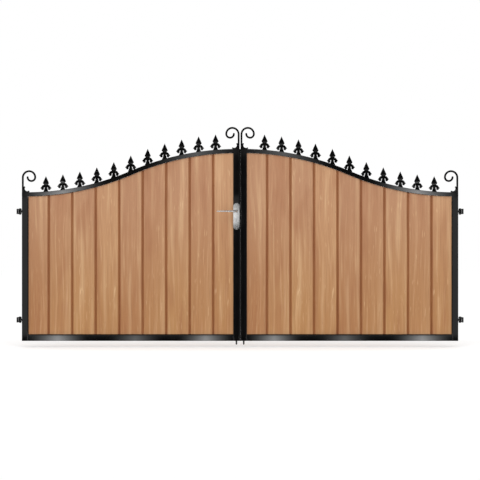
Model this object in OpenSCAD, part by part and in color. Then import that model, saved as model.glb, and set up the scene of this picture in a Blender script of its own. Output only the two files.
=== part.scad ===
// Pair of swing gate leaves: steel box-section frames filled with upright boards,
// an ogee top rail with spear finials, scrolls over every stile, strap eyes on
// wall brackets, a lever lock and two drop bolts.
// X runs along the gate, Y from the front to the back, Z up.
// The origin is the middle of the lower left bracket's outer face.
// Each leaf is drawn once, from its hinge edge (u = 0) to its meeting edge.

/* [Gate] */
// Overall width over both closed leaves
gate_w = 2750; // [2200:10:3400]
// Gap between the closed leaves
leaf_gap = 8; // [8:1:14]
// Height of the frame at the hinge edge
side_h = 937; // [700:1:1300]
// Rise of the top rail from the hinge edge to the meeting edge
rise = 273; // [120:1:380]
// Level run of the top rail beside the hinge edge
level_hinge = 26; // [10:1:60]
// Level run of the top rail beside the meeting edge
level_meet = 14; // [10:1:60]

/* [Frame sections] */
// Side of the square box section
section = 38; // [30:1:50]
// Wall of all the box sections
wall = 2; // [1.5:0.1:3]
// Radius of the box section's corners
corner_r = 3; // [2:0.5:5]
// Depth of the curved top rail
rail_depth = 25; // [20:1:40]
// Thickness of the end caps
cap_t = 2; // [1:0.5:3]

/* [Boards] */
// Number of boards in one leaf
board_count = 9; // [5:2:13]
// Width of the two end boards, from the frame to their joint
end_board_w = 129.5; // [90:0.5:160]
// Thickness of the boards
board_t = 20; // [14:1:24]
// Gap for drainage and swelling over the bottom rail and beside the hinge stile
board_gap = 4; // [1:0.5:6]
// Gap under the top rail and beside the meeting stile
board_fit = 1; // [0.5:0.5:3]
// Width of the V joint between two boards
joint_w = 16; // [4:1:18]
// Depth of the V joint
joint_d = 6; // [2:1:8]
// Width of the ledge behind the boards
ledge_w = 22; // [15:1:35]
// Thickness of the ledge
ledge_t = 4; // [3:1:6]

/* [Finials] */
// Number of finials on one leaf
finial_count = 11; // [5:2:15]
// Distance of the first and last finial from the leaf's edges
finial_margin = 150.5; // [125:0.5:200]
// Height of a finial
finial_h = 96; // [90:1:110]
// Width of the spear over its shoulders
spear_w = 35; // [26:1:38]
// Height of the spear from its shoulders to its tip
spear_h = 42.5; // [30:0.5:50]
// Width of the stem under the spear
stem_w = 13; // [10:1:18]
// Width of the foot on the rail
foot_w = 32; // [26:1:36]
// Width over the tips of the two leaves
leaf_span = 70; // [60:1:76]
// Thickness of the casting at its side leaves
finial_t = 10; // [6:1:16]

/* [Scrolls] */
// Width of the scroll bar, seen from the front
scroll_bar = 10; // [6:1:12]
// Depth of the scroll bar, front to back
scroll_depth = 16; // [8:1:30]
// Straight height of the scroll above the rail
scroll_stem = 93; // [60:1:140]
// Reach of the corner bracket along the rail
foot_reach = 47; // [35:1:60]
// Height of the corner bracket up the bar
foot_height = 37; // [25:1:50]

/* [Hinges] */
// Height of the lower hinge above the bottom of the frame
hinge_low = 133; // [80:1:300]
// Distance of the upper hinge below the top of the frame
hinge_under = 121; // [80:1:300]
// Gap between the frame and the post
hinge_reach = 32; // [32:1:45]
// Distance from the frame's edge to the hinge axis
axis_out = 14; // [14:0.5:18]
// Distance of the hinge axis in front of the frame's back face
axis_inset = 5; // [0:0.5:5]
// Height of a bracket
bracket_h = 34; // [30:1:50]
// Thickness of the bracket's plate
plate_t = 8; // [5:0.5:8]
// Width of the bracket's plate, front to back
plate_w = 90; // [70:1:120]
// Distance between the plate's two screw holes
screw_pitch = 60; // [45:1:90]
// Radius of the screw holes
screw_r = 4.5; // [3:0.5:6]
// Depth of the screw holes' countersinks
sink_d = 3.5; // [2:0.5:4]
// Radius of the plate's corners
plate_corner = 8; // [3:1:12]
// Radius of the hinge pin
pin_r = 5; // [4:0.5:6]
// Radius of the eye and of the lugs
eye_r = 9.5; // [8:0.5:9.5]
// Height of the eye
eye_h = 20; // [14:1:24]
// Thickness of the tang that joins the eye to the stile
tang_h = 14; // [10:1:18]
// Running clearance round the pin
pin_clear = 0.05; // [0.02:0.01:0.1]
// Clearance over and under the eye
eye_gap = 0.5; // [0.3:0.1:1]

/* [Drop bolts] */
// Radius of the bolt
bolt_r = 6; // [5:0.5:8]
// Radius of the turned tip of the bolt
tip_r = 5.5; // [4:0.5:7]
// Reach of the bolt below the frame
bolt_drop = 25; // [10:1:60]
// Height of the bolt's bend above the bottom of the frame
bolt_top = 430; // [380:1:600]
// Height of each guide
guide_h = 25; // [15:1:40]
// Bottom of the lower guide
guide_low = 20; // [5:1:60]
// Bottom of the upper guide
guide_high = 330; // [260:1:350]
// Wall of the guides
guide_wall = 4.5; // [3:0.5:7]
// Clearance of the bolt in its guides
bolt_clear = 0.3; // [0.3:0.1:0.6]
// Length of the bolt's handle
grip_len = 70; // [50:1:100]

/* [Lock] */
// Height of the lever's spindle above the bottom of the frame
lever_z = 817; // [650:1:900]
// Distance of the cylinder below the spindle
cylinder_drop = 62; // [50:1:92]
// Height of the lock plate
lock_plate_h = 167; // [150:1:240]
// Width of the lock plate
lock_plate_w = 40; // [30:1:42]
// Thickness of the lock plate
lock_plate_t = 8; // [3:1:10]
// Height of the spindle above the middle of the plate
spindle_up = 32; // [10:1:40]
// Length of the lever, from its spindle to its tip
lever_len = 125; // [90:1:150]
// Distance from the plate to the middle of the lever
lever_stand = 38; // [30:1:60]
// Radius of the lever at its root
lever_r = 6.5; // [5:0.5:9]
// Radius of the lever at its tip
lever_tip_r = 4; // [3:0.5:7]
// Radius of the lever's neck
neck_r = 8; // [6:0.5:10]
// Clearance round the lever's neck in the plate
neck_clear = 0.4; // [0.3:0.1:0.8]
// Radius of the rose round the lever's neck
rose_r = 12; // [11:0.5:16]
// Side of the square spindle
spindle_w = 8; // [6:1:10]
// Radius of the lock cylinder's round part
cylinder_r = 8.5; // [7:0.5:10]
// Width of the lock cylinder's web
web_w = 10; // [8:0.5:12]
// Height of the lock cylinder, round part and web
cylinder_h = 33; // [28:1:36]
// Clearance round the lock cylinder
cylinder_clear = 0.3; // [0.2:0.1:0.6]
// Clearance between the closing strip and the other leaf
strip_clear = 0.8; // [0.5:0.1:3]
// Depth of the closing strip, front to back
strip_depth = 30; // [15:1:34]

/* [Hidden] */

black_coat = "#1c1c1e";
cedar = "#b98a64";
satin_steel = "#c4c8c8";
rubber_black = "#0e0e0f";

$fn = 48;
eps = 0.01;
cut = 1;
weld_gap = 0.03;

leaf_w = (gate_w - leaf_gap) / 2;
half = section / 2;
inner = section - 2 * wall;
inner_r = max(corner_r - wall, 0.5);
hinge_high = side_h - hinge_under;
axis_back = half - axis_inset;
board_pitch = (leaf_w - 2 * section - 2 * end_board_w) / (board_count - 2);
finial_pitch = (leaf_w - 2 * finial_margin) / (finial_count - 1);
leaf_top = finial_h - spear_h - 12;

// The top rail's centre line: a level run, an arc that turns up, an arc that
// turns level again, and a level run.
curve_start = level_hinge;
curve_end = leaf_w - level_meet;
curve_turn = 2 * atan(rise / (curve_end - curve_start));
curve_r = (curve_end - curve_start) / 2 / sin(curve_turn);
low_z = side_h - rail_depth / 2;
high_z = low_z + rise;
mid_u = (curve_start + curve_end) / 2;
mid_z = (low_z + high_z) / 2;
foot_deep = foot_w / 2 * tan(curve_turn) + 2;

// Height of the line that runs at the distance d above the centre line, at u
function line_z(u, d) =
    u <= curve_start ? low_z + d :
    u < mid_u - d * sin(curve_turn) ?
        low_z + curve_r - sqrt(pow(curve_r - d, 2) - pow(u - curve_start, 2)) :
    u < curve_end ? high_z - curve_r + sqrt(pow(curve_r + d, 2) - pow(curve_end - u, 2)) :
    high_z + d;

// Slope of that line at u, in degrees
function line_slope(u, d) =
    u <= curve_start || u >= curve_end ? 0 :
    u < mid_u - d * sin(curve_turn) ? asin((u - curve_start) / (curve_r - d)) :
    asin((curve_end - u) / (curve_r + d));

// Where the line through both arcs' centres lies at the height z
function split_u(z) = mid_u + (mid_z - z) * tan(curve_turn);

// Moves what is drawn for the left leaf to its place
module on_left() {
    translate([hinge_reach, -axis_back, -hinge_low]) children();
}

// Mirrors it about the middle of the gate for the right leaf
module on_right() {
    translate([2 * (hinge_reach + leaf_w) + leaf_gap, 0, 0]) mirror([1, 0, 0]) on_left() children();
}

// Stands a drawing of u and z upright between the depths y0 and y1
module upright(y0, y1) {
    translate([0, y1, 0]) rotate([90, 0, 0]) linear_extrude(y1 - y0) children();
}

// The area under the line at the distance d above the centre line
module under_line(d, u0, u1, z0) {
    below = mid_z - rail_depth;
    above = high_z + 2 * rail_depth;
    difference() {
        translate([u0, z0]) square([u1 - u0, high_z + d - z0]);
        translate([curve_start, low_z + curve_r]) circle(r = curve_r - d, $fn = 720);
        if (u0 < curve_start)
            translate([u0 - cut, low_z + d]) square([curve_start - u0 + cut, above]);
        difference() {
            polygon([
                [split_u(below), below], [curve_end, below],
                [curve_end, above], [split_u(above), above]
            ]);
            translate([curve_end, high_z - curve_r]) circle(r = curve_r + d, $fn = 720);
        }
    }
}

// A rectangle with round corners, from the origin
module rounded(w, h, r) {
    union() {
        translate([r, 0]) square([w - 2 * r, h]);
        translate([0, r]) square([w, h - 2 * r]);
        for (x = [r, w - r], y = [r, h - r])
            translate([x, y]) circle(r);
    }
}

// The square box section, seen from its end
module box_outline() {
    difference() {
        rounded(section, section, corner_r);
        translate([wall, wall]) rounded(inner, inner, inner_r);
    }
}

// A box section with open ends, standing on its end
module box_post(height) {
    translate([0, -half, 0]) linear_extrude(height) box_outline();
}

module hinge_stile() {
    color(black_coat)
        translate([0, 0, cap_t]) box_post(low_z - rail_depth / 2 - cap_t);
}

module meeting_stile() {
    top = line_z(leaf_w - section, -rail_depth / 2) - weld_gap;
    color(black_coat)
        translate([leaf_w - section, 0, cap_t]) box_post(top - cap_t);
}

module lock_stile() {
    color(black_coat)
        difference() {
            meeting_stile();
            translate([leaf_w - half, 0, lever_z]) upright(-half - cut, half + cut) {
                circle(neck_r + 1);
                translate([0, -cylinder_drop]) cylinder_outline(1);
            }
        }
}

module bottom_rail() {
    color(black_coat)
        translate([section, -half, 0]) rotate([90, 0, 90])
            linear_extrude(leaf_w - 2 * section) box_outline();
}

module top_rail() {
    color(black_coat)
        difference() {
            upright(-half, half) difference() {
                under_line(rail_depth / 2, cap_t, leaf_w - cap_t, low_z - rail_depth);
                under_line(-rail_depth / 2, 0, leaf_w, low_z - 2 * rail_depth);
            }
            upright(-half + wall, half - wall) difference() {
                under_line(rail_depth / 2 - wall, 0, leaf_w, low_z - rail_depth);
                under_line(-rail_depth / 2 + wall, -cut, leaf_w + cut, low_z - 2 * rail_depth);
            }
        }
}

module end_caps() {
    color(black_coat) {
        for (u = [0, leaf_w - section])
            translate([u, -half, 0]) linear_extrude(cap_t) rounded(section, section, corner_r);
        translate([0, -half, low_z - rail_depth / 2]) cube([cap_t, section, rail_depth]);
        translate([leaf_w - cap_t, -half, high_z - rail_depth / 2]) cube([cap_t, section, rail_depth]);
    }
}

module board_panel() {
    u0 = section + board_gap;
    u1 = leaf_w - section - board_fit;
    middle = (u0 + u1) / 2;
    color(cedar)
        intersection() {
            upright(-board_t, board_t) under_line(-rail_depth / 2 - board_fit, u0, u1, u0);
            linear_extrude(high_z) difference() {
                translate([u0 - cut, -board_t / 2]) square([u1 - u0 + 2 * cut, board_t]);
                for (i = [1:board_count - 1], side = [-1, 1])
                    translate([middle + (i - board_count / 2) * board_pitch, side * board_t / 2])
                        polygon([[-joint_w / 2, side * eps], [joint_w / 2, side * eps], [0, -side * joint_d]]);
            }
        }
}

module board_ledge() {
    seat = rail_depth / 2 + 5 * weld_gap;
    inside = section + ledge_w;
    color(black_coat)
        upright(board_t / 2, board_t / 2 + ledge_t) difference() {
            under_line(-seat, section, leaf_w - section, section);
            under_line(-seat - ledge_w, inside, leaf_w - inside, inside);
        }
}

// The spear of a finial with its round shoulders, seen from the front
module spear() {
    shoulder_r = 5;
    neck_x = stem_w / 2 + 4.5;
    shoulder_x = spear_w / 2 - shoulder_r;
    shoulder_z = finial_h - spear_h;
    lean = atan(shoulder_x / spear_h) + asin(shoulder_r / norm([shoulder_x, spear_h]));
    edge = [shoulder_x + shoulder_r * cos(lean), shoulder_z + shoulder_r * sin(lean)];
    union() {
        polygon([
            [0, finial_h], edge, [shoulder_x, shoulder_z - shoulder_r], [neck_x, leaf_top - 2],
            [-neck_x, leaf_top - 2], [-shoulder_x, shoulder_z - shoulder_r], [-edge[0], edge[1]]
        ]);
        for (side = [-1, 1])
            translate([side * shoulder_x, shoulder_z]) circle(shoulder_r);
    }
}

// The right-hand leaf: a crescent that droops from the stem, with a round end
// and a barb that points outwards
module leaf() {
    centre_x = 9;
    outer_r = 19;
    hollow_r = 15;
    hollow_centre = [-7, -7.5];
    end_r = 7;
    end_z = -5;
    tip_x = leaf_span / 2 - centre_x;
    translate([centre_x, leaf_top - outer_r]) union() {
        difference() {
            circle(outer_r);
            translate(hollow_centre) circle(hollow_r);
            translate([-2 * outer_r, end_z - 2 * outer_r]) square([4 * outer_r, 2 * outer_r]);
            translate([-2 * outer_r, -outer_r]) square([2 * outer_r - centre_x, 3 * outer_r]);
        }
        translate([outer_r - end_r, end_z]) circle(end_r);
        polygon([[outer_r - 3, 8], [tip_x, -1.5], [outer_r - end_r, end_z]]);
    }
}

// One finial, seen from the front: spear, two leaves and a stem that flares to its foot
module finial_outline() {
    flare_r = 75;
    waist_z = leaf_top - 8;
    union() {
        spear();
        leaf();
        mirror([1, 0]) leaf();
        difference() {
            translate([-foot_w / 2, -foot_deep]) square([foot_w, leaf_top + foot_deep - 1]);
            for (side = [-1, 1])
                translate([side * (stem_w / 2 + flare_r), waist_z]) circle(r = flare_r, $fn = 180);
        }
    }
}

// The same finial, seen from the side
module finial_side() {
    t = finial_t;
    shoulder_z = finial_h - spear_h;
    neck_z = shoulder_z - 11;
    half_side = [
        [0.6 * t, shoulder_z], [0.35 * t, neck_z], [0.5 * t, neck_z - 8],
        [0.5 * t, 12], [0.8 * t, -foot_deep]
    ];
    polygon(concat(
        [[0, finial_h]], half_side,
        [for (i = [len(half_side) - 1:-1:0]) [-half_side[i][0], half_side[i][1]]]
    ));
}

module finials() {
    top = rail_depth / 2;
    seat = pow(foot_w / 2 / cos(curve_turn), 2) / (2 * (curve_r - top)) + weld_gap;
    color(black_coat)
        for (i = [0:finial_count - 1]) {
            u = leaf_w / 2 + (i - (finial_count - 1) / 2) * finial_pitch;
            translate([u, 0, line_z(u, top) + seat]) intersection() {
                upright(-finial_t, finial_t) difference() {
                    finial_outline();
                    rotate(line_slope(u, top))
                        translate([-leaf_span, -leaf_span]) square([2 * leaf_span, leaf_span]);
                }
                translate([-leaf_span, 0, 0]) rotate([90, 0, 90])
                    linear_extrude(2 * leaf_span) finial_side();
            }
        }
}

// A stretch of the scroll's bar, bent round a centre
module bend(centre, r, start, turn) {
    translate([centre[0], 0, centre[1]]) rotate([90, 0, 0])
        rotate_extrude(angle = turn, start = start, $fn = 96)
            translate([r - scroll_bar / 2, -scroll_depth / 2]) square([scroll_bar, scroll_depth]);
}

// The scroll stands on the rail at u = 0 and curls towards greater u
module scroll() {
    r1 = 40;
    r2 = 38;
    r3 = 24;
    side = scroll_bar / 2;
    top = scroll_stem + r1;
    color(black_coat) {
        translate([0, -scroll_depth / 2, 0]) cube([scroll_bar, scroll_depth, scroll_stem]);
        bend([side + r1, scroll_stem], r1, 90, 90);
        bend([side + r1, top - r2], r2, 0, 90);
        bend([side + r1 + r2 - r3, top - r2], r3, 180, 180);
        translate([side + r1 + r2 - 2 * r3, scroll_depth / 2, top - r2]) rotate([90, 0, 0])
            cylinder(r = side, h = scroll_depth);
    }
}

module hinge_scroll() {
    translate([0, 0, side_h]) scroll();
}

module meeting_scroll() {
    translate([leaf_w, 0, side_h + rise]) mirror([1, 0, 0]) scroll();
}

// Corner bracket between the rail and the scroll's bar
module scroll_bracket() {
    leg = 7;
    knob = 5;
    lift = pow(max(0, foot_reach - level_hinge), 2) / (2 * (curve_r - rail_depth / 2)) + weld_gap;
    fillet = 16;
    color(black_coat)
        translate([scroll_bar, 0, lift]) upright(-scroll_depth / 2, scroll_depth / 2) {
            square([leg, foot_height - knob]);
            square([foot_reach - scroll_bar - knob, leg]);
            translate([knob, foot_height - knob]) circle(knob);
            translate([foot_reach - scroll_bar - knob, knob]) circle(knob);
            difference() {
                square(leg + fillet);
                translate([leg + fillet, leg + fillet]) circle(fillet);
                translate([leg + fillet, leg]) square(fillet);
                translate([leg, leg + fillet]) square(fillet);
            }
        }
}

module scroll_brackets() {
    translate([0, 0, side_h]) scroll_bracket();
    translate([leaf_w, 0, side_h + rise]) mirror([1, 0, 0]) scroll_bracket();
}

// Eye and tang, welded to the stile's edge
module eye(z) {
    color(black_coat)
        translate([-axis_out, axis_back, z]) difference() {
            union() {
                cylinder(r = eye_r, h = eye_h, center = true);
                translate([0, -section / 2, -tang_h / 2])
                    cube([axis_out, section / 2 + half - axis_back, tang_h]);
            }
            cylinder(r = pin_r + pin_clear, h = eye_h + 2 * cut, center = true);
        }
}

// Plate with two lugs that hold the pin
module bracket(z) {
    lug_t = (bracket_h - eye_h) / 2 - eye_gap;
    plate_in = -hinge_reach + plate_t;
    color(black_coat)
        difference() {
            union() {
                translate([-hinge_reach, axis_back - plate_w / 2, z - bracket_h / 2]) rotate([90, 0, 90])
                    linear_extrude(plate_t) rounded(plate_w, bracket_h, plate_corner);
                for (foot = [-bracket_h / 2, bracket_h / 2 - lug_t]) {
                    translate([-axis_out, axis_back, z + foot]) cylinder(r = eye_r, h = lug_t);
                    translate([plate_in - eps, axis_back - eye_r, z + foot])
                        cube([hinge_reach - plate_t - axis_out + eps, 2 * eye_r, lug_t]);
                }
            }
            translate([-axis_out, axis_back, z - bracket_h])
                cylinder(r = pin_r + pin_clear, h = 2 * bracket_h);
            for (side = [-1, 1])
                translate([-hinge_reach, axis_back + side * screw_pitch / 2, z]) rotate([0, 90, 0]) {
                    translate([0, 0, -cut]) cylinder(r = screw_r, h = plate_t + 2 * cut);
                    translate([0, 0, plate_t - sink_d])
                        cylinder(r1 = screw_r, r2 = screw_r + sink_d + eps, h = sink_d + eps);
                }
        }
}

module pin(z) {
    head_r = pin_r + 2;
    head_h = 3;
    below = 4;
    color(satin_steel)
        translate([-axis_out, axis_back, z - bracket_h / 2 - below]) {
            cylinder(r = pin_r, h = bracket_h + below + eps);
            translate([0, 0, bracket_h + below]) cylinder(r = head_r, h = head_h);
        }
}

module pins() {
    pin(hinge_low);
    pin(hinge_high);
}

guide_r = bolt_r + bolt_clear + guide_wall;
bolt_y = half + guide_r;
bolt_u = leaf_w - half;

module bolt_guides() {
    color(black_coat)
        for (z = [guide_low, guide_high])
            translate([bolt_u, bolt_y, z]) difference() {
                union() {
                    cylinder(r = guide_r, h = guide_h);
                    translate([-guide_r, half - bolt_y, 0]) cube([2 * guide_r, bolt_y - half, guide_h]);
                }
                translate([0, 0, -cut]) cylinder(r = bolt_r + bolt_clear, h = guide_h + 2 * cut);
            }
}

module drop_bolt() {
    bend_r = 14;
    tip_len = bolt_drop + 5;
    tip_chamfer = 2;
    collar_z = guide_low + guide_h + bolt_clear;
    collar_r = bolt_r + 4;
    collar_h = 10;
    color(black_coat)
        translate([bolt_u, bolt_y, 0]) {
            translate([0, 0, -bolt_drop]) cylinder(r1 = tip_r - tip_chamfer, r2 = tip_r, h = tip_chamfer);
            translate([0, 0, tip_chamfer - bolt_drop]) cylinder(r = tip_r, h = tip_len - tip_chamfer);
            translate([0, 0, tip_len - bolt_drop]) cylinder(r = bolt_r, h = bolt_top - tip_len + bolt_drop);
            translate([0, 0, collar_z]) cylinder(r = collar_r, h = collar_h);
            translate([0, bend_r, bolt_top]) rotate([90, 0, -90])
                rotate_extrude(angle = 90) translate([bend_r, 0]) circle(bolt_r);
            translate([0, bend_r, bolt_top + bend_r]) rotate([-90, 0, 0])
                cylinder(r = bolt_r, h = grip_len - bend_r);
            translate([0, grip_len, bolt_top + bend_r]) sphere(bolt_r);
        }
}

// Rubber strip with a round nose that faces the other leaf
module strip() {
    w = leaf_gap - strip_clear;
    nose = w / 2;
    color(rubber_black)
        translate([leaf_w, -strip_depth / 2, 0]) linear_extrude(side_h + rise) union() {
            square([w - nose, strip_depth]);
            translate([0, nose]) square([w, strip_depth - 2 * nose]);
            for (y = [nose, strip_depth - nose])
                translate([w - nose, y]) circle(nose);
        }
}

// Round part and web of the lock cylinder, grown by a clearance
module cylinder_outline(grow) {
    web = web_w / 2 + grow;
    foot = cylinder_r + web_w / 2 - cylinder_h;
    union() {
        circle(cylinder_r + grow);
        translate([-web, foot]) square([2 * web, -foot]);
        translate([0, foot]) circle(web);
    }
}

// The lock plate's outline: straight sides and round ends
module plate_outline(inset) {
    end_r = lock_plate_w / 2;
    straight = lock_plate_h - lock_plate_w;
    union() {
        square([lock_plate_w - 2 * inset, straight], center = true);
        for (side = [-1, 1])
            translate([0, side * straight / 2]) circle(end_r - inset);
    }
}

// Upright plate with round ends, a stepped edge and a rose round the neck,
// on the stile's front face
module lock_plate() {
    edge = 2;
    rose_h = 3;
    color(satin_steel)
        translate([leaf_w - half, 0, lever_z - spindle_up]) difference() {
            union() {
                upright(-half - lock_plate_t + edge, -half) plate_outline(0);
                upright(-half - lock_plate_t, -half) plate_outline(edge);
                translate([0, 0, spindle_up]) upright(-half - lock_plate_t - rose_h, -half) circle(rose_r);
            }
            upright(-half - lock_plate_t - rose_h - cut, -half + cut) {
                translate([0, spindle_up]) circle(neck_r + neck_clear);
                translate([0, spindle_up - cylinder_drop]) cylinder_outline(cylinder_clear);
            }
        }
}

module rear_plate() {
    mirror([0, 1, 0]) lock_plate();
}

module cylinder_lock() {
    reach = half + lock_plate_t + 2;
    slot_w = 1.5;
    slot_h = 8;
    slot_d = 3;
    color(satin_steel)
        translate([leaf_w - half, 0, lever_z - cylinder_drop]) difference() {
            upright(-reach, reach) cylinder_outline(0);
            for (side = [-1, 1])
                translate([0, side * reach, 0]) cube([slot_w, 2 * slot_d, slot_h], center = true);
        }
}

// Lever in front of the stile, pointing away from the meeting edge
module lever() {
    plate_y = -half - lock_plate_t;
    root_y = plate_y - lever_stand;
    bend_r = 14;
    hub_end = root_y + bend_r;
    color(satin_steel)
        translate([leaf_w - half, 0, lever_z]) {
            upright(hub_end, -half - 2) circle(neck_r);
            translate([-bend_r, hub_end, 0]) rotate([180, 0, 0])
                rotate_extrude(angle = 90) translate([bend_r, 0]) circle(lever_r);
            translate([-bend_r + eps, root_y, 0]) rotate([0, -90, 0])
                cylinder(r1 = lever_r, r2 = lever_tip_r, h = lever_len - lever_tip_r - bend_r + eps);
            translate([-lever_len + lever_tip_r, root_y, 0]) sphere(lever_tip_r);
        }
}

module rear_lever_shape() {
    mirror([0, 1, 0]) lever();
}

module spindle() {
    color(satin_steel)
        translate([leaf_w - half, 0, lever_z])
            cube([spindle_w, section + 4, spindle_w], center = true);
}

on_left() bracket(hinge_low);  // lower_left_bracket
on_left() bracket(hinge_high);  // upper_left_bracket
on_right() bracket(hinge_low);  // lower_right_bracket
on_right() bracket(hinge_high);  // upper_right_bracket
union() { on_left() pins(); on_right() pins(); }  // hinge_pins
on_left() hinge_stile();  // left_hinge_stile
on_left() lock_stile();  // left_meeting_stile
on_left() bottom_rail();  // left_bottom_rail
on_left() top_rail();  // left_top_rail
on_left() end_caps();  // left_end_caps
on_left() board_panel();  // left_board_panel
on_left() board_ledge();  // left_board_ledge
on_left() finials();  // left_finials
on_left() hinge_scroll();  // left_hinge_scroll
on_left() meeting_scroll();  // left_meeting_scroll
on_left() scroll_brackets();  // left_scroll_brackets
on_left() eye(hinge_low);  // left_lower_eye
on_left() eye(hinge_high);  // left_upper_eye
on_left() bolt_guides();  // left_bolt_guides
on_left() drop_bolt();  // left_drop_bolt
on_right() hinge_stile();  // right_hinge_stile
on_right() meeting_stile();  // right_meeting_stile
on_right() bottom_rail();  // right_bottom_rail
on_right() top_rail();  // right_top_rail
on_right() end_caps();  // right_end_caps
on_right() board_panel();  // right_board_panel
on_right() board_ledge();  // right_board_ledge
on_right() finials();  // right_finials
on_right() hinge_scroll();  // right_hinge_scroll
on_right() meeting_scroll();  // right_meeting_scroll
on_right() scroll_brackets();  // right_scroll_brackets
on_right() eye(hinge_low);  // right_lower_eye
on_right() eye(hinge_high);  // right_upper_eye
on_right() bolt_guides();  // right_bolt_guides
on_right() drop_bolt();  // right_drop_bolt
on_left() strip();  // closing_strip
on_left() lock_plate();  // front_lock_plate
on_left() rear_plate();  // rear_lock_plate
on_left() cylinder_lock();  // lock_cylinder
on_left() lever();  // front_lever
on_left() rear_lever_shape();  // rear_lever
on_left() spindle();  // lever_spindle
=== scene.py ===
"""Looks of a pair of boarded swing gates.

Powder coated box-section frames, V-jointed cedar boards, cast finials, scrolls,
strap hinges, drop bolts and a satin steel lever lock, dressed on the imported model.
"""

import logging
import math
from dataclasses import dataclass, field
from enum import Enum

import bmesh
import bpy
from mathutils import Matrix, Vector


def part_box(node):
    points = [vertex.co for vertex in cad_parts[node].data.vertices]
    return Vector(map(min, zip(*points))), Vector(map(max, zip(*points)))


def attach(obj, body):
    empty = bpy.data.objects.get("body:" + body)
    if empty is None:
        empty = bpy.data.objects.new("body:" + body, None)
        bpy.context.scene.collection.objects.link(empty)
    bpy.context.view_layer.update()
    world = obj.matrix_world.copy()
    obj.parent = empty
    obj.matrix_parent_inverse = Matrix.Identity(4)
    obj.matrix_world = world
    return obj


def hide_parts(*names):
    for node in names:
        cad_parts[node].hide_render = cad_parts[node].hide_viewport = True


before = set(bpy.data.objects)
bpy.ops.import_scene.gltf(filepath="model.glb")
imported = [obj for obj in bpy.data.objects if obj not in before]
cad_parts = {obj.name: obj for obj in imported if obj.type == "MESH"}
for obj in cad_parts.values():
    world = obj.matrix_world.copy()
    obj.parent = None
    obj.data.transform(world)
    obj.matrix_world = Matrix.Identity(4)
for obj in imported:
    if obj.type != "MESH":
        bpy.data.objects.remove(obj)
log = logging.getLogger("gate")

Colour = tuple[float, float, float]
Node = bpy.types.ShaderNode


def srgb(red: int, green: int, blue: int) -> Colour:
    """Turns display values from 0 to 255 into a linear colour.

    Args:
        red: Display value of red.
        green: Display value of green.
        blue: Display value of blue.

    Returns:
        The linear colour.
    """

    def linear(value: int) -> float:
        """Linear value of one channel."""
        share = value / 255
        return share / 12.92 if share <= 0.04045 else ((share + 0.055) / 1.055) ** 2.4

    return linear(red), linear(green), linear(blue)


# ---------------------------------------------------------------- shader maths


class Signal:
    """A number that varies over a surface; Python's operators add Math nodes to it."""

    def __init__(self, bench: "Bench", socket: bpy.types.NodeSocket) -> None:
        """Wraps an output socket of the bench's node tree."""
        self.bench = bench
        self.socket = socket

    def math(self, operation: str, *others: "Signal | float", clamp: bool = False) -> "Signal":
        """Adds one Math node that starts from this signal.

        Args:
            operation: Name of the Math node's operation.
            others: The node's further inputs.
            clamp: Whether the result is kept between 0 and 1.

        Returns:
            The node's result.
        """
        return self.bench.maths(operation, self, *others, clamp=clamp)

    def __add__(self, other: "Signal | float") -> "Signal":
        """self + other."""
        return self.math("ADD", other)

    __radd__ = __add__

    def __sub__(self, other: "Signal | float") -> "Signal":
        """self - other."""
        return self.math("SUBTRACT", other)

    def __rsub__(self, other: float) -> "Signal":
        """other - self."""
        return self.bench.maths("SUBTRACT", other, self)

    def __mul__(self, other: "Signal | float") -> "Signal":
        """self * other."""
        return self.math("MULTIPLY", other)

    __rmul__ = __mul__

    def __truediv__(self, other: "Signal | float") -> "Signal":
        """self / other."""
        return self.math("DIVIDE", other)

    def __pow__(self, other: "Signal | float") -> "Signal":
        """self to the power of other."""
        return self.math("POWER", other)

    def __abs__(self) -> "Signal":
        """Size of self without its sign."""
        return self.math("ABSOLUTE")

    def sine(self) -> "Signal":
        """Sine of self, in radians."""
        return self.math("SINE")

    def clamp(self) -> "Signal":
        """Self kept between 0 and 1."""
        return self.math("ADD", 0.0, clamp=True)

    def rise(self, low: float, high: float) -> "Signal":
        """Goes smoothly from 0 where self is low to 1 where it is high.

        Args:
            low: Where the result is 0.
            high: Where the result is 1; it may be under low.

        Returns:
            The smooth step.
        """
        node = self.bench.add(
            "ShaderNodeMapRange",
            {"interpolation_type": "SMOOTHSTEP"},
            {"Value": self, "From Min": low, "From Max": high},
        )
        return Signal(self.bench, node.outputs["Result"])


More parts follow.
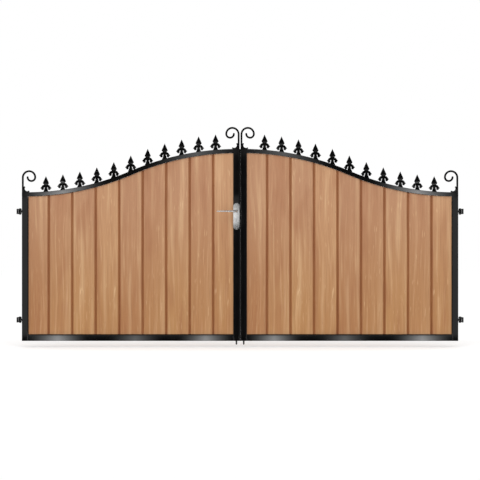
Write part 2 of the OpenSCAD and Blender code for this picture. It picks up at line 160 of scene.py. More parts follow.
class Bench:
    """A node tree under construction."""

    def __init__(self, tree: bpy.types.NodeTree) -> None:
        """Empties the tree and takes it over."""
        self.tree = tree
        tree.nodes.clear()

    def add(self, kind: str, settings: dict | None = None, sockets: dict | None = None) -> Node:
        """Adds a node.

        Args:
            kind: The node's type.
            settings: Its settings, set first.
            sockets: Values or links of its input sockets, by name or number.

        Returns:
            The node.
        """
        node = self.tree.nodes.new(kind)
        for name, value in (settings or {}).items():
            setattr(node, name, value)
        for name, value in (sockets or {}).items():
            self.feed(node.inputs[name], value)
        return node

    def feed(self, socket: bpy.types.NodeSocket, value: object) -> None:
        """Links or sets one input socket.

        Args:
            socket: The input.
            value: A signal, an output socket, a number or a tuple.
        """
        if isinstance(value, Signal):
            self.tree.links.new(value.socket, socket)
        elif isinstance(value, bpy.types.NodeSocket):
            self.tree.links.new(value, socket)
        elif isinstance(value, tuple) and len(value) == 3 and socket.type == "RGBA":
            socket.default_value = (*value, 1.0)
        else:
            socket.default_value = value

    def maths(self, operation: str, *terms: Signal | float, clamp: bool = False) -> Signal:
        """Adds a Math node.

        Args:
            operation: The node's operation.
            terms: Its inputs in order.
            clamp: Whether the result is kept between 0 and 1.

        Returns:
            Its result.
        """
        node = self.add(
            "ShaderNodeMath", {"operation": operation, "use_clamp": clamp}, dict(enumerate(terms))
        )
        return Signal(self, node.outputs[0])

    def object_place(self) -> tuple[bpy.types.NodeSocket, Signal, Signal, Signal]:
        """Object coordinates, whole and as x, y and z."""
        place = self.add("ShaderNodeTexCoord").outputs["Object"]
        return place, *self.split(place)

    def split(self, vector: bpy.types.NodeSocket) -> tuple[Signal, Signal, Signal]:
        """The x, y and z of a vector."""
        node = self.add("ShaderNodeSeparateXYZ", None, {"Vector": vector})
        return tuple(Signal(self, node.outputs[i]) for i in range(3))

    def join(self, x: Signal | float, y: Signal | float, z: Signal | float) -> bpy.types.NodeSocket:
        """A vector from its x, y and z."""
        return self.add("ShaderNodeCombineXYZ", None, {"X": x, "Y": y, "Z": z}).outputs[0]

    def noise(
        self, vector: bpy.types.NodeSocket, scale: float = 1.0, detail: float = 2.0,
        roughness: float = 0.5,
    ) -> Signal:
        """Soft noise from 0 to 1.

        Args:
            vector: Where it is read.
            scale: Waves per unit of the vector.
            detail: Number of finer layers.
            roughness: Strength of the finer layers.

        Returns:
            The noise.
        """
        node = self.add(
            "ShaderNodeTexNoise",
            None,
            {"Vector": vector, "Scale": scale, "Detail": detail, "Roughness": roughness},
        )
        return Signal(self, node.outputs["Fac"])

    def blend(
        self, share: Signal | float, first: object, second: object, how: str = "MIX"
    ) -> bpy.types.NodeSocket:
        """Mixes two colours.

        Args:
            share: How much of the second colour, from 0 to 1.
            first: A colour or a link.
            second: A colour or a link.
            how: The Mix node's blend type.

        Returns:
            The mixed colour.
        """
        node = self.add("ShaderNodeMix", {"data_type": "RGBA", "blend_type": how})
        self.feed(node.inputs[0], share)
        self.feed(node.inputs[6], first)
        self.feed(node.inputs[7], second)
        return node.outputs[2]

    def bump(self, height: Signal, distance: float, strength: float = 1.0) -> bpy.types.NodeSocket:
        """A normal that follows a height.

        Args:
            height: The height, in units of the distance.
            distance: Depth of the relief in metres.
            strength: How strongly it shows.

        Returns:
            The normal.
        """
        node = self.add(
            "ShaderNodeBump", None, {"Height": height, "Distance": distance, "Strength": strength}
        )
        return node.outputs["Normal"]


# -------------------------------------------------------------------- finishes


@dataclass(frozen=True)
class Finish:
    """A surface finish with its record slot."""

    name: str
    slot: str

    def build(self) -> bpy.types.Material:
        """Makes the finish's material.

        Returns:
            The material.
        """
        material = bpy.data.materials.new(self.name)
        material.use_nodes = True
        bench = Bench(material.node_tree)
        shader = bench.add("ShaderNodeBsdfPrincipled")
        self.lay_on(bench, shader)
        bench.add("ShaderNodeOutputMaterial", None, {"Surface": shader.outputs[0]})
        return material

    def lay_on(self, bench: Bench, shader: Node) -> None:
        """Feeds the shader; each finish has its own way.

        Args:
            bench: The material's node tree.
            shader: Its Principled shader.
        """
        raise NotImplementedError


@dataclass(frozen=True)
class PowderCoat(Finish):
    """Smooth black powder coat with a faint orange peel, fine specks of dirt and soft lighter
    patches that are partly a dusting and partly painted sheen.
    """

    colour: Colour = (0.0028, 0.0028, 0.0030)
    # Colour of the lighter patches and specks, partly dirt and partly painted sheen.
    dust_and_sheen_colour: Colour = (0.0075, 0.0073, 0.0070)
    roughness: float = 0.11
    peel_depth: float = 0.000004

    def lay_on(self, bench: Bench, shader: Node) -> None:
        """Sets the coat's colour, gloss and relief.

        Args:
            bench: The material's node tree.
            shader: Its Principled shader.
        """
        place, _, _, _ = bench.object_place()
        # Painted sheen: the soft lighter patches are partly a dusting on the coat and partly stand
        # in for reflections on the gloss; the fine specks are dirt.
        dust_and_sheen_cloud = bench.noise(place, 9.0, 3.0, 0.6).rise(0.42, 0.72)
        specks = bench.noise(place, 700.0, 1.0, 0.5).rise(0.66, 0.78)
        dust_and_sheen = dust_and_sheen_cloud * 0.45 + specks * 0.25
        peel = bench.noise(place, 330.0, 2.0, 0.45)
        bench.feed(shader.inputs["Base Color"], bench.blend(dust_and_sheen, self.colour, self.dust_and_sheen_colour))
        bench.feed(shader.inputs["Roughness"], dust_and_sheen_cloud * 0.02 + specks * 0.04 + self.roughness)
        bench.feed(shader.inputs["Normal"], bench.bump(peel, self.peel_depth))


@dataclass(frozen=True)
class SatinSteel(Finish):
    """Stainless steel with a short satin brush along one direction."""

    colour: Colour = (0.60, 0.60, 0.59)
    shade: Colour = (0.47, 0.475, 0.48)
    roughness: float = 0.27
    along: Colour = (40.0, 900.0, 900.0)

    def lay_on(self, bench: Bench, shader: Node) -> None:
        """Sets the metal's colour, brush marks and handling marks.

        Args:
            bench: The material's node tree.
            shader: Its Principled shader.
        """
        place, _, _, _ = bench.object_place()
        stretched = bench.add(
            "ShaderNodeMapping", None, {"Vector": place, "Scale": self.along}
        ).outputs[0]
        brush = bench.noise(stretched, 1.0, 3.0, 0.6)
        wipe = bench.noise(place, 45.0, 2.0, 0.55).rise(0.4, 0.7)
        bench.feed(
            shader.inputs["Base Color"],
            bench.blend(brush * 0.35 + wipe * 0.4, self.colour, self.shade),
        )
        bench.feed(shader.inputs["Metallic"], 1.0)
        bench.feed(shader.inputs["Roughness"], brush * 0.10 + wipe * 0.07 + self.roughness)
        bench.feed(shader.inputs["Normal"], bench.bump(brush, 0.00001))


@dataclass(frozen=True)
class ZincPlate(Finish):
    """Dull zinc plating with a fine spangle."""

    colour: Colour = (0.34, 0.345, 0.35)
    shade: Colour = (0.22, 0.22, 0.23)

    def lay_on(self, bench: Bench, shader: Node) -> None:
        """Sets the plating's colour, spangle and dull patches.

        Args:
            bench: The material's node tree.
            shader: Its Principled shader.
        """
        place, _, _, _ = bench.object_place()
        spangle = bench.noise(place, 260.0, 3.0, 0.6)
        dull = bench.noise(place, 60.0, 2.0, 0.5).rise(0.35, 0.7)
        bench.feed(shader.inputs["Base Color"], bench.blend(spangle, self.shade, self.colour))
        bench.feed(shader.inputs["Metallic"], 0.9)
        bench.feed(shader.inputs["Roughness"], dull * 0.18 + 0.36)
        bench.feed(shader.inputs["Normal"], bench.bump(spangle, 0.00001))


@dataclass(frozen=True)
class BlackRubber(Finish):
    """Matt extruded rubber with fine lines along its length."""

    colour: Colour = (0.003, 0.003, 0.003)
    bloom: Colour = (0.007, 0.007, 0.0072)

    def lay_on(self, bench: Bench, shader: Node) -> None:
        """Sets the rubber's colour, bloom and extrusion lines.

        Args:
            bench: The material's node tree.
            shader: Its Principled shader.
        """
        place, x, y, z = bench.object_place()
        lines = bench.noise(bench.join(x * 1400.0, y * 1400.0, z * 6.0), 1.0, 2.0)
        patch = bench.noise(place, 20.0, 3.0, 0.6).rise(0.4, 0.75)
        bench.feed(shader.inputs["Base Color"], bench.blend(patch, self.colour, self.bloom))
        bench.feed(shader.inputs["Roughness"], patch * 0.12 + 0.62)
        bench.feed(shader.inputs["Specular IOR Level"], 0.12)
        bench.feed(shader.inputs["Normal"], bench.bump(lines, 0.00003))


@dataclass(frozen=True)
class OiledCedar(Finish):
    """Planed and oiled cedar with soft upright grain, drawn board by board.

    The boards carry four point attributes: "board" holds the board's middle, its
    seed and how strongly it is flamed, "board_figure" the strength of its bands,
    "board_head" its colour at the top and "board_foot" its colour at the bottom.
    """

    russet: Colour = srgb(158, 98, 62)
    pale: Colour = srgb(232, 196, 152)
    line: Colour = srgb(128, 80, 50)
    # Colour multiplied into the board edges as painted shade in the V-joints.
    groove_shade_colour: Colour = srgb(214, 189, 165)
    low: float = -0.092
    high: float = 1.05
    half_face: float = 0.066

    def lay_on(self, bench: Bench, shader: Node) -> None:
        """Draws the streaks, flames, fibres, flecks and painted shade in the V-joints.

        Args:
            bench: The material's node tree.
            shader: Its Principled shader.
        """
        _, x, y, z = bench.object_place()

        def stored(name: str, output: str = "Color") -> bpy.types.NodeSocket:
            """A point attribute of the board."""
            return bench.add("ShaderNodeAttribute", {"attribute_name": name}).outputs[output]

        middle, seed, flamed = bench.split(stored("board", "Vector"))
        figure = Signal(bench, stored("board_figure", "Fac"))
        across = x - middle
        lean = bench.noise(bench.join(seed * 5.1, across * 3.0, z * 1.4), 1.0, 1.0, 0.4) - 0.5
        sway = bench.noise(bench.join(seed * 3.7, across * 9.0, z * 6.0), 1.0, 1.0, 0.4) - 0.5
        grain = across + lean * 0.055 + sway * 0.005

        def streaks(width: float, length: float, shift: float, detail: float = 2.0) -> Signal:
            """Upright noise whose waves have a width and a length in metres."""
            return bench.noise(
                bench.join(grain / width + seed * shift, y / width, z / length + seed * 1.9),
                1.0, detail, 0.5,
            )

        band = streaks(0.034, 0.75, 2.3)
        streak = streaks(0.011, 0.32, 7.9, 3.0)
        flame = streaks(0.0075, 0.075, 4.7, 1.0)
        fibre = streaks(0.0017, 0.13, 9.1, 3.0)
        fleck = streaks(0.0034, 0.024, 6.1, 0.0)
        place = bench.noise(bench.join(across * 11.0 + seed * 3.3, seed, z * 3.6), 1.0, 1.0)
        rings = ((grain + lean * 0.05) * 760.0 + streak * 5.0).sine() * 0.5 + 0.5

        height = ((z - self.low) / (self.high - self.low)).clamp()
        ground = bench.blend(height.rise(0.0, 0.9), stored("board_foot"), stored("board_head"))
        ground = bench.blend(place.rise(0.52, 0.78) * 0.34, ground, self.russet)
        ground = bench.blend(band.rise(0.48, 0.22) * 0.22 * figure, ground, self.russet)
        ground = bench.blend(band.rise(0.50, 0.78) * 0.24 * figure, ground, self.pale)
        # Painted highlight: the right part of each board is lightened towards its right edge, as
        # light caught by a slightly cupped board.
        ground = bench.blend(across.rise(0.018, 0.060) * 0.08, ground, self.pale)
        ground = bench.blend(streak.rise(0.52, 0.78) * 0.30, ground, self.pale)
        ground = bench.blend(streak.rise(0.46, 0.22) * 0.20, ground, self.line)
        lit = flame.rise(0.62, 0.80) * place.rise(0.60, 0.38) * flamed
        ground = bench.blend(lit * 0.60, ground, self.pale)
        ground = bench.blend((rings ** 2.4) * (0.24 - band * 0.20).clamp(), ground, self.line)
        ground = bench.blend(fibre.rise(0.50, 0.80) * 0.26, ground, self.line)
        ground = bench.blend(fleck.rise(0.80, 0.88) * 0.55, ground, self.line)
        # Painted shade: the chamfered edges of every board are darkened where shade falls in the
        # V-joints.
        groove_shade = abs(across).rise(self.half_face - 0.0025, self.half_face + 0.0005)
        ground = bench.blend(groove_shade, ground, self.groove_shade_colour, "MULTIPLY")

        relief = fibre * 0.6 + rings * 0.25 + fleck * 0.15
        bench.feed(shader.inputs["Base Color"], ground)
        bench.feed(shader.inputs["Roughness"], rings * 0.04 + fibre * 0.12 + 0.48)
        bench.feed(shader.inputs["Normal"], bench.bump(relief, 0.00010, 0.7))


@dataclass
class Palette:
    """The gate's finishes, each made once."""

    coat: PowderCoat = PowderCoat("black_powder_coat", "black_coat")
    cedar: OiledCedar = OiledCedar("oiled_cedar", "cedar_boards")
    lever_steel: SatinSteel = SatinSteel(
        "satin_lever_steel", "satin_steel", colour=(0.84, 0.835, 0.82), roughness=0.20
    )
    plate_steel: SatinSteel = SatinSteel(
        "satin_plate_steel", "satin_steel", roughness=0.13, along=(900.0, 900.0, 40.0)
    )
    zinc: ZincPlate = ZincPlate("zinc_plate", "zinc_steel")
    pin_zinc: ZincPlate = ZincPlate(
        "greased_pin_zinc", "zinc_steel", colour=(0.10, 0.10, 0.10), shade=(0.05, 0.05, 0.05)
    )
    rubber: BlackRubber = BlackRubber("black_rubber", "black_rubber")
    made: dict[str, bpy.types.Material] = field(default_factory=dict)

    def material(self, finish: Finish) -> bpy.types.Material:
        """The finish's material, made at its first use.

        Args:
            finish: One of the finishes.

        Returns:
            Its material.
        """
        if finish.name not in self.made:
            self.made[finish.name] = finish.build()
        return self.made[finish.name]

    def dress(self, piece: bpy.types.Object, finish: Finish) -> None:
        """Gives a piece its material.

        Args:
            piece: The object.
            finish: Its finish.
        """
        piece.data.materials.clear()
        piece.data.materials.append(self.material(finish))


# ------------------------------------------------------------------ mesh tools


def mesh_piece(name: str, bm: bmesh.types.BMesh, smooth_under: float = 50.0) -> bpy.types.Object:
    """Turns a bmesh into an object at the origin, its flat faces shaded flat.

    Args:
        name: The object's name.
        bm: The mesh, which is freed.
        smooth_under: Edges that turn less than this many degrees look round.

    Returns:
        The object.
    """
    mesh = bpy.data.meshes.new(name)
    bm.to_mesh(mesh)
    bm.free()
    mesh.shade_smooth()
    mesh.set_sharp_from_angle(angle=math.radians(smooth_under))
    piece = bpy.data.objects.new(name, mesh)
    bpy.context.scene.collection.objects.link(piece)
    level = piece.modifiers.new("flat_faces", "WEIGHTED_NORMAL")
    level.weight = 100
    level.keep_sharp = True
    return piece


def merged_copy(node: str) -> bmesh.types.BMesh:
    """A copy of a CAD node's mesh with shared corners and whole flat faces.

    Args:
        node: The CAD node's name.

    Returns:
        The copy.
    """
    bm = bmesh.new()
    bm.from_mesh(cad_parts[node].data)
    bmesh.ops.remove_doubles(bm, verts=bm.verts, dist=2e-6)
    bmesh.ops.dissolve_limit(
        bm, angle_limit=math.radians(0.4), verts=bm.verts, edges=bm.edges
    )
    return bm


def soften(bm: bmesh.types.BMesh, offset: float, segments: int = 2, over: float = 34.0) -> None:
    """Rounds the edges that turn more than an angle.

    Args:
        bm: The mesh.
        offset: Width of the rounding in metres.
        segments: Number of faces across it.
        over: Smallest turn that is rounded, in degrees.
    """
    turn = math.radians(over)
    edges = [e for e in bm.edges if e.is_manifold and e.calc_face_angle(0.0) > turn]
    bmesh.ops.bevel(
        bm, geom=edges, offset=offset, offset_type="OFFSET", affect="EDGES", segments=segments,
        profile=0.5, material=-1, clamp_overlap=True,
    )


def swell(bm: bmesh.types.BMesh, amount: float) -> None:
    """Thickens flat castings and bars in the plane of the gate, not front to back.

    Args:
        bm: The mesh, before its edges are rounded.
        amount: How far each side face moves out, in metres.
    """
    moves = []
    for vert in bm.verts:
        flank = sum((f.normal for f in vert.link_faces if abs(f.normal.y) < 0.5), Vector())
        flank.y = 0.0
        if flank.length > 1e-6:
            moves.append((vert, flank.normalized() * amount))
    for vert, move in moves:
        vert.co += move
    bm.normal_update()


def lathe_head(radius: float, height: float, sides: int = 12) -> bmesh.types.BMesh:
    """A low domed head round the Z axis, its seat at z = 0.

    Args:
        radius: Radius of the head.
        height: Height of the dome.
        sides: Number of faces round it.

    Returns:
        The head.
    """
    bm = bmesh.new()
    outline = [(radius * 0.94, 0.0), (radius, height * 0.22), (radius * 0.86, height * 0.62),
               (radius * 0.5, height * 0.93), (0.0, height)]
    verts = [bm.verts.new((r, 0.0, z)) for r, z in outline]
    edges = [bm.edges.new(pair) for pair in zip(verts, verts[1:])]
    bmesh.ops.spin(
        bm, geom=verts + edges, cent=(0, 0, 0), axis=(0, 0, 1), angle=math.tau, steps=sides,
        use_merge=True,
    )
    bmesh.ops.remove_doubles(bm, verts=bm.verts, dist=1e-6)
    rim = [e for e in bm.edges if e.is_boundary]
    bmesh.ops.contextual_create(bm, geom=rim)
    bmesh.ops.recalc_face_normals(bm, faces=bm.faces)
    return bm


# ---------------------------------------------------------------- sub-assemblies


class Side(Enum):
    """Which leaf, as seen from the front."""

    LEFT = "left"
    RIGHT = "right"


@dataclass(frozen=True)
class BoardSort:
    """One sort of board, by the log it was cut from."""

    head: Colour
    foot: Colour
    seed: float
    flamed: float
    figure: float


class Cut(Enum):
    """The four sorts of board that are laid in turn."""

    ROSY = BoardSort(srgb(186, 138, 103), srgb(175, 121, 75), 1.3, 0.35, 1.3)
    PLAIN = BoardSort(srgb(183, 133, 98), srgb(181, 130, 82), 4.6, 0.8, 0.95)
    PALE = BoardSort(srgb(187, 139, 104), srgb(186, 136, 85), 8.2, 1.0, 1.8)
    HONEY = BoardSort(srgb(195, 147, 108), srgb(182, 131, 81), 12.9, 0.9, 1.5)


@dataclass
class Steelwork:
    """A set of CAD nodes of one finish, redrawn with softened edges."""

    palette: Palette
    body: str

    def redraw(
        self, node: str, finish: Finish, edge: float, segments: int = 2, fuller: float = 0.0
    ) -> bpy.types.Object:
        """Redraws a CAD node with rounded edges and smooth curves.

        Args:
            node: The CAD node that the piece stands for.
            finish: The piece's finish.
            edge: Rounding of its sharp edges in metres.
            segments: Number of faces across the rounding.
            fuller: How far its side faces move out first, in metres.

        Returns:
            The piece.
        """
        bm = merged_copy(node)
        if fuller:
            swell(bm, fuller)
        soften(bm, edge, segments)
        piece = mesh_piece(node + "_finished", bm)
        self.palette.dress(piece, finish)
        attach(piece, self.body)
        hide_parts(node)
        log.info("%s: %d faces", piece.name, len(piece.data.polygons))
        return piece


@dataclass
class Leaf:
    """One leaf: frame, boards, ledge, finials, scrolls and eyes."""

    side: Side
    palette: Palette
    board_count: int = 9
    board_pitch: float = 0.148
    arris: float = 0.0007
    screw_radius: float = 0.0045
    cuts: tuple[Cut, ...] = (
        Cut.ROSY, Cut.PLAIN, Cut.PALE, Cut.HONEY, Cut.ROSY, Cut.PLAIN, Cut.PALE, Cut.PLAIN,
        Cut.HONEY,
    )

    @property
    def body(self) -> str:
        """The CAD body that the leaf's pieces ride on."""
        return self.side.value + "_leaf"

    def node(self, name: str) -> str:
        """Full name of one of the leaf's CAD nodes."""
        return f"{self.side.value}_{name}"

    def build(self) -> None:
        """Builds and dresses the whole leaf."""
        self.build_frame()
        self.build_boards()
        self.set_board_screws()
        self.build_ornaments()

    def build_frame(self) -> None:
        """Redraws the stiles, rails, caps, ledge, eyes and bolt guides."""
        work = Steelwork(self.palette, self.body)
        coat = self.palette.coat
        for name, edge in (
            ("hinge_stile", 0.0004), ("meeting_stile", 0.0004), ("bottom_rail", 0.0004),
            ("top_rail", 0.0022), ("end_caps", 0.0004), ("board_ledge", 0.0006),
            ("lower_eye", 0.0008), ("upper_eye", 0.0008), ("bolt_guides", 0.0008),
        ):
            work.redraw(self.node(name), coat, edge)

    def build_ornaments(self) -> None:
        """Redraws the finials, scrolls and corner brackets."""
        work = Steelwork(self.palette, self.body)
        coat = self.palette.coat
        for name, edge, fuller in (
            ("finials", 0.0009, 0.0015), ("hinge_scroll", 0.0012, 0.0010),
            ("meeting_scroll", 0.0012, 0.0010), ("scroll_brackets", 0.0012, 0.0),
        ):
            work.redraw(self.node(name), coat, edge, fuller=fuller)

    def joints(self) -> list[float]:
        """Places of the boards' edges along X, from the left."""
        low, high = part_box(self.node("board_panel"))
        inner = (high.x + low.x) / 2
        first = inner - (self.board_count / 2 - 1) * self.board_pitch
        inside = (first + i * self.board_pitch for i in range(self.board_count - 1))
        return [low.x, *inside, high.x]

    def build_boards(self) -> None:
        """Cuts the panel's shape into boards, each its own piece."""
        edges = self.joints()
        for i, (start, end) in enumerate(zip(edges, edges[1:])):
            bm = merged_copy(self.node("board_panel"))
            if i > 0:
                self.saw(bm, start, -1.0)
            if i < self.board_count - 1:
                self.saw(bm, end, 1.0)
            soften(bm, self.arris, 2, 25.0)
            board = mesh_piece(self.node(f"board_{i + 1}"), bm)
            self.mark(board, (start + end) / 2 if 0 < i < self.board_count - 1 else None, i)
            self.palette.dress(board, self.palette.cedar)
            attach(board, self.body)
            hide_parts(self.node("board_panel"))
            log.info("%s: %d faces", board.name, len(board.data.polygons))

    def set_board_screws(self) -> None:
        """Fixes each board from behind, two screws through the ledge at each end."""
        edges = self.joints()
        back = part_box(self.node("board_ledge"))[1].y
        whole = bmesh.new()
        for start, end in zip(edges, edges[1:]):
            for share in (0.25, 0.75):
                x = start + (end - start) * share
                for z in self.ledge_heights(x):
                    head = lathe_head(self.screw_radius, self.screw_radius * 0.5)
                    stand = Matrix.Translation((x, back, z)) @ Matrix.Rotation(-math.pi / 2, 4, "X")
                    bmesh.ops.transform(head, matrix=stand, verts=head.verts)
                    join_into(whole, head)
        piece = mesh_piece(self.node("board_screws"), whole)
        self.palette.dress(piece, self.palette.zinc)
        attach(piece, self.body)
        log.info("%s: %d faces", piece.name, len(piece.data.polygons))

    def ledge_heights(self, x: float) -> tuple[float, float]:
        """Middles of the lower and the upper ledge where the screws go.

        Args:
            x: Place along X.

        Returns:
            The two heights.
        """
        bm = merged_copy(self.node("board_ledge"))
        cut = bmesh.ops.bisect_plane(
            bm, geom=[*bm.verts, *bm.edges, *bm.faces], plane_co=(x, 0, 0), plane_no=(1, 0, 0)
        )
        heights = sorted(v.co.z for v in cut["geom_cut"] if isinstance(v, bmesh.types.BMVert))
        bm.free()
        middle = (heights[0] + heights[-1]) / 2
        under = [z for z in heights if z < middle]
        above = [z for z in heights if z > middle]
        return (under[0] + under[-1]) / 2, (above[0] + above[-1]) / 2

    def saw(self, bm: bmesh.types.BMesh, x: float, away: float) -> None:
        """Cuts the mesh upright at x and closes the cut.

        Args:
            bm: The mesh.
            x: Where the saw goes.
            away: 1 drops what lies beyond x, -1 what lies before it.
        """
        cut = bmesh.ops.bisect_plane(
            bm, geom=[*bm.verts, *bm.edges, *bm.faces], dist=1e-6, plane_co=(x, 0, 0),
            plane_no=(away, 0, 0), clear_outer=True,
        )
        rim = [e for e in cut["geom_cut"] if isinstance(e, bmesh.types.BMEdge)]
        bmesh.ops.contextual_create(bm, geom=rim)

    def mark(self, board: bpy.types.Object, middle: float | None, number: int) -> None:
        """Stores the board's middle, seed, flaming and colours on its points.

        Args:
            board: The board.
            middle: Its middle along X; an end board's comes from its own box.
            number: Its number from the left.
        """
        xs = [v.co.x for v in board.data.vertices]
        if middle is None:
            half = self.board_pitch / 2
            middle = max(xs) - half if number == 0 else min(xs) + half
        sort = self.cuts[number].value
        seed = sort.seed + number * 0.11 + (0.05 if self.side is Side.RIGHT else 0.0)
        store = board.data.attributes.new("board", "FLOAT_VECTOR", "POINT")
        for item in store.data:
            item.vector = (middle, seed, sort.flamed)
        store = board.data.attributes.new("board_figure", "FLOAT", "POINT")
        for item in store.data:
            item.value = sort.figure
        for name, colour in (("board_head", sort.head), ("board_foot", sort.foot)):
            store = board.data.attributes.new(name, "FLOAT_COLOR", "POINT")
            for item in store.data:
                item.color = (*colour, 1.0)


@dataclass
class HingePosts:
    """The four wall brackets, their pins and screws."""

    palette: Palette
    screw_pitch: float = 0.060
    head_radius: float = 0.0078
    plate: float = 0.008

    def build(self) -> None:
        """Redraws the brackets and pins and sets the screws."""
        work = Steelwork(self.palette, "brackets")
        for name in ("lower_left", "upper_left", "lower_right", "upper_right"):
            work.redraw(name + "_bracket", self.palette.coat, 0.0008)
            self.set_screws(name)
        work.redraw("hinge_pins", self.palette.pin_zinc, 0.0006)

    def set_screws(self, name: str) -> None:
        """Puts two countersunk screws in a bracket's plate.

        Args:
            name: The bracket's place.
        """
        low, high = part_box(name + "_bracket")
        left = name.endswith("left")
        seat = low.x + self.plate if left else high.x - self.plate
        turn = Matrix.Rotation(math.radians(90 if left else -90), 4, "Y")
        whole = bmesh.new()
        for side in (-1, 1):
            head = countersunk_screw(self.head_radius)
            at = Vector((seat, side * self.screw_pitch / 2, (low.z + high.z) / 2))
            bmesh.ops.transform(head, matrix=Matrix.Translation(at) @ turn, verts=head.verts)
            join_into(whole, head)
        piece = mesh_piece(name + "_screws", whole)
        self.palette.dress(piece, self.palette.zinc)
        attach(piece, "brackets")
        log.info("%s: %d faces", piece.name, len(piece.data.polygons))


def join_into(whole: bmesh.types.BMesh, part: bmesh.types.BMesh) -> None:
    """Adds one mesh to another and frees it.

    Args:
        whole: The mesh that grows.
        part: The mesh that is added.
    """
    passing = bpy.data.meshes.new("passing")
    part.to_mesh(passing)
    part.free()
    whole.from_mesh(passing)
    bpy.data.meshes.remove(passing)


def countersunk_screw(radius: float, sides: int = 24) -> bmesh.types.BMesh:
    """A countersunk screw with a round pin socket, its face at z = 0, looking up Z.

    Args:
        radius: Radius of its face.
        sides: Number of faces round it.

    Returns:
        The screw.
    """
    bm = bmesh.new()
    bmesh.ops.create_cone(
        bm, cap_ends=True, segments=sides, radius1=radius * 0.56, radius2=radius,
        depth=radius * 0.44, matrix=Matrix.Translation((0, 0, -radius * 0.22)),
    )
    top = max(bm.faces, key=lambda f: f.calc_center_median().z)
    bmesh.ops.inset_individual(bm, faces=[top], thickness=radius * 0.5)
    pushed = bmesh.ops.extrude_discrete_faces(bm, faces=[top])["faces"]
    bmesh.ops.translate(bm, verts=pushed[0].verts, vec=(0, 0, -radius * 0.32))
    return bm


@dataclass
class LockSet:
    """Lock plates, cylinder, levers, spindle and the plates' screws."""

    palette: Palette
    screw_radius: float = 0.0036
    screw_inset: float = 0.011
    collar: float = 0.003
    proud: float = 0.0002

    def build(self) -> None:
        """Redraws the lock's pieces in satin steel."""
        plates = Steelwork(self.palette, "left_leaf")
        for name in ("front_lock_plate", "rear_lock_plate"):
            plates.redraw(name, self.palette.plate_steel, 0.0009, 3)
        plates.redraw("lock_cylinder", self.palette.plate_steel, 0.0004)
        levers = Steelwork(self.palette, "lever_set")
        for name in ("front_lever", "rear_lever"):
            levers.redraw(name, self.palette.lever_steel, 0.0006)
        levers.redraw("lever_spindle", self.palette.zinc, 0.0003)
        self.set_screws("front_lock_plate", -1.0)
        self.set_screws("rear_lock_plate", 1.0)

    def set_screws(self, node: str, facing: float) -> None:
        """Sets a small screw near each end of a lock plate, its face a hair proud.

        Args:
            node: The plate.
            facing: -1 for a plate that looks to the front, 1 for the back.
        """
        low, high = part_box(node)
        face = low.y + self.collar if facing < 0 else high.y - self.collar
        turn = Matrix.Rotation(-facing * math.pi / 2, 4, "X")
        whole = bmesh.new()
        for z in (low.z + self.screw_inset, high.z - self.screw_inset):
            head = countersunk_screw(self.screw_radius)
            at = Vector(((low.x + high.x) / 2, face + facing * self.proud, z))
            bmesh.ops.transform(head, matrix=Matrix.Translation(at) @ turn, verts=head.verts)
            join_into(whole, head)
        piece = mesh_piece(node + "_screws", whole)
        self.palette.dress(piece, self.palette.lever_steel)
        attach(piece, "left_leaf")
        log.info("%s: %d faces", piece.name, len(piece.data.polygons))


@dataclass
class DropBolt:
    """One leaf's drop bolt."""

    side: Side
    palette: Palette

    def build(self) -> None:
        """Redraws the bolt in powder coat."""
        work = Steelwork(self.palette, self.side.value + "_bolt")
        work.redraw(self.side.value + "_drop_bolt", self.palette.coat, 0.0006)


@dataclass
class ClosingStrip:
    """The rubber strip between the leaves."""

    palette: Palette
    lip: float = 0.0007

    def build(self) -> None:
        """Redraws the strip in black rubber with a soft lip towards the right leaf."""
        bm = merged_copy("closing_strip")
        soften(bm, 0.0003, 2)
        low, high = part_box("closing_strip")
        for vert in bm.verts:
            if vert.co.x > (low.x + high.x) / 2:
                vert.co.x += self.lip
        piece = mesh_piece("closing_strip_finished", bm)
        self.palette.dress(piece, self.palette.rubber)
        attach(piece, "left_leaf")
        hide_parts("closing_strip")
        log.info("%s: %d faces", piece.name, len(piece.data.polygons))


# ---------------------------------------------------------------------- studio


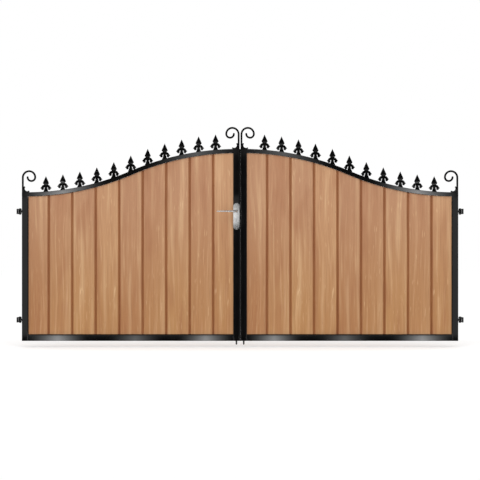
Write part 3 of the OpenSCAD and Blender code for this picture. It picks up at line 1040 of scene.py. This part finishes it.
@dataclass
class Studio:
    """Camera, soft light, floor and white background."""

    distance: float = 14.0
    view_width: float = 3.024
    centre_x: float = 1.4066
    centre_z: float = 0.503
    front_y: float = -0.033
    floor_z: float = -0.172
    level: float = 0.90
    floor_lift: float = 0.20
    floor_half: float = 30.0
    lamp_size: tuple[float, float] = (4.0, 2.0)
    lamp_power: float = 60.0
    lamp_y: float = -3.4
    lamp_z: float = 3.6
    lamp_tilt: float = 47.0

    def build(self) -> None:
        """Sets up the whole studio."""
        bpy.context.scene.view_settings.view_transform = "Standard"
        self.place_camera()
        self.light_world()
        self.hang_softbox()
        self.lay_floor()
        ReflectionCard(self.centre_x, self.centre_z, self.front_y, self.distance).build()

    def place_camera(self) -> None:
        """Stands the camera square in front of the gate."""
        data = bpy.data.cameras.new("camera")
        data.sensor_width = 36.0
        data.lens = data.sensor_width * self.distance / self.view_width
        data.clip_end = 100.0
        camera = bpy.data.objects.new("camera", data)
        camera.location = (self.centre_x, self.front_y - self.distance, self.centre_z)
        camera.rotation_euler = (math.pi / 2, 0, 0)
        bpy.context.scene.collection.objects.link(camera)
        bpy.context.scene.camera = camera

    def light_world(self) -> None:
        """Gives even light and a white background to camera, gloss and glass."""
        world = bpy.data.worlds.new("studio")
        bpy.context.scene.world = world
        world.use_nodes = True
        bench = Bench(world.node_tree)
        ray = bench.add("ShaderNodeLightPath")
        seen, gloss, clear = (
            Signal(bench, ray.outputs[name])
            for name in ("Is Camera Ray", "Is Glossy Ray", "Is Transmission Ray")
        )
        white = (seen + gloss + clear).clamp()
        back = bench.add(
            "ShaderNodeBackground", None,
            {"Color": (1.0, 1.0, 1.0), "Strength": white + (1.0 - white) * self.level},
        )
        bench.add("ShaderNodeOutputWorld", None, {"Surface": back.outputs[0]})

    def hang_softbox(self) -> None:
        """Hangs one wide soft lamp in front and above."""
        data = bpy.data.lights.new("softbox", "AREA")
        data.shape = "RECTANGLE"
        data.size, data.size_y = self.lamp_size
        data.energy = self.lamp_power
        lamp = bpy.data.objects.new("softbox", data)
        lamp.location = (self.centre_x, self.lamp_y, self.lamp_z)
        lamp.rotation_euler = (math.radians(self.lamp_tilt), 0, 0)
        lamp.visible_glossy = False
        bpy.context.scene.collection.objects.link(lamp)

    def lay_floor(self) -> None:
        """Lays a plain pale floor just under the drop bolts, white to the camera."""
        bm = bmesh.new()
        bmesh.ops.create_grid(
            bm, x_segments=1, y_segments=1, size=self.floor_half,
            matrix=Matrix.Translation((self.centre_x, 0, self.floor_z)),
        )
        floor = mesh_piece("floor", bm)
        material = bpy.data.materials.new("pale_floor")
        material.use_nodes = True
        bench = Bench(material.node_tree)
        ray = bench.add("ShaderNodeLightPath")
        cover = bench.add("ShaderNodeBsdfDiffuse", None, {"Color": (0.90, 0.90, 0.90)})
        lift = bench.add(
            "ShaderNodeEmission", None,
            {"Strength": Signal(bench, ray.outputs["Is Camera Ray"]) * self.floor_lift},
        )
        both = bench.add("ShaderNodeAddShader", None, {0: cover.outputs[0], 1: lift.outputs[0]})
        bench.add("ShaderNodeOutputMaterial", None, {"Surface": both.outputs[0]})
        floor.data.materials.append(material)
        floor.visible_glossy = False


@dataclass(frozen=True)
class SoftStrip:
    """An upright strip of light on both sides of the middle, fading to its edges."""

    aside: float
    half_width: float
    brightness: float


@dataclass
class ReflectionCard:
    """A black card in front that gloss alone sees, with a grey panel and soft strips."""

    centre_x: float
    eye_z: float
    front_y: float
    distance: float
    gap: float = 0.38
    half_width: float = 2.1
    half_height: float = 1.9
    middle_z: float = 0.55
    rail_low: float = 0.791
    rise: float = 0.273
    panel: float = 0.35
    low_strips: tuple[SoftStrip, ...] = (
        SoftStrip(0.215, 0.18, 6.6), SoftStrip(0.66, 0.18, 2.9), SoftStrip(1.15, 0.20, 7.2),
    )
    high_strips: tuple[SoftStrip, ...] = (
        SoftStrip(0.275, 0.34, 2.6), SoftStrip(1.12, 0.30, 7.6),
    )

    def build(self) -> None:
        """Stands the card and paints its light."""
        bm = bmesh.new()
        bmesh.ops.create_grid(
            bm, x_segments=1, y_segments=1, size=1.0,
            matrix=Matrix.Translation((self.centre_x, self.front_y - self.gap, self.middle_z))
            @ Matrix.Diagonal((self.half_width, 1.0, self.half_height, 1.0))
            @ Matrix.Rotation(math.pi / 2, 4, "X"),
        )
        card = mesh_piece("reflection_card", bm)
        material = bpy.data.materials.new("card_light")
        material.use_nodes = True
        bench = Bench(material.node_tree)
        light = bench.add("ShaderNodeEmission", None, {"Strength": self.light(bench)})
        bench.add("ShaderNodeOutputMaterial", None, {"Surface": light.outputs[0]})
        material.cycles.emission_sampling = "NONE"
        card.data.materials.append(material)
        card.visible_camera = card.visible_diffuse = card.visible_shadow = False
        card.visible_transmission = card.visible_volume_scatter = False

    def light(self, bench: Bench) -> Signal:
        """How bright the card is: a grey panel, strips over and under it, one small lamp.

        Args:
            bench: The card's node tree.

        Returns:
            The brightness.
        """
        _, x, _, z = bench.object_place()
        spread = 1.0 + self.gap / self.distance
        left = (x - self.centre_x) / spread
        aside = abs(left)
        tall = (z - self.eye_z) / spread + self.eye_z
        over = tall - ((1.0 - aside.rise(0.10, 1.26)) * self.rise + self.rail_low)

        panel = aside.rise(0.02, 0.10) * self.panel + aside.rise(1.20, 1.32) * 0.25
        panel = panel * tall.rise(-0.115, -0.090) * over.rise(-0.016, -0.030)
        low = self.row(aside, self.low_strips) * tall.rise(-0.085, -0.105)
        high = self.row(aside, self.high_strips)
        high = high * over.rise(-0.030, -0.016) * over.rise(0.024, 0.013)
        core = self.bell(abs(tall - 0.655), 0.10) * 1.7 + 0.42
        lamp = core * left.rise(-0.21, -0.15) * left.rise(0.004, -0.010)
        return panel + low + high + lamp * tall.rise(0.580, 0.600) * tall.rise(0.790, 0.772)

    def bell(self, off: Signal, half_width: float) -> Signal:
        """Light that fades from 1 in the middle to 0 at a distance.

        Args:
            off: Distance from the middle.
            half_width: Where the light ends.

        Returns:
            The light.
        """
        return (1.0 - off / half_width).clamp() ** 2.0

    def row(self, aside: Signal, strips: tuple[SoftStrip, ...]) -> Signal:
        """A row of soft strips.

        Args:
            aside: Distance from the gate's middle.
            strips: The strips, at least one.

        Returns:
            The row's brightness.
        """
        first, *others = (
            self.bell(abs(aside - strip.aside), strip.half_width) * strip.brightness
            for strip in strips
        )
        for light in others:
            first = first + light
        return first


# ------------------------------------------------------------------------ main


def main() -> None:
    """Builds the studio, then each sub-assembly in order."""
    logging.basicConfig(level=logging.INFO, format="%(name)s: %(message)s")
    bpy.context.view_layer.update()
    Studio().build()
    palette = Palette()
    for side in Side:
        Leaf(side, palette).build()
        DropBolt(side, palette).build()
    HingePosts(palette).build()
    LockSet(palette).build()
    ClosingStrip(palette).build()


if __name__ == "__main__":
    main()
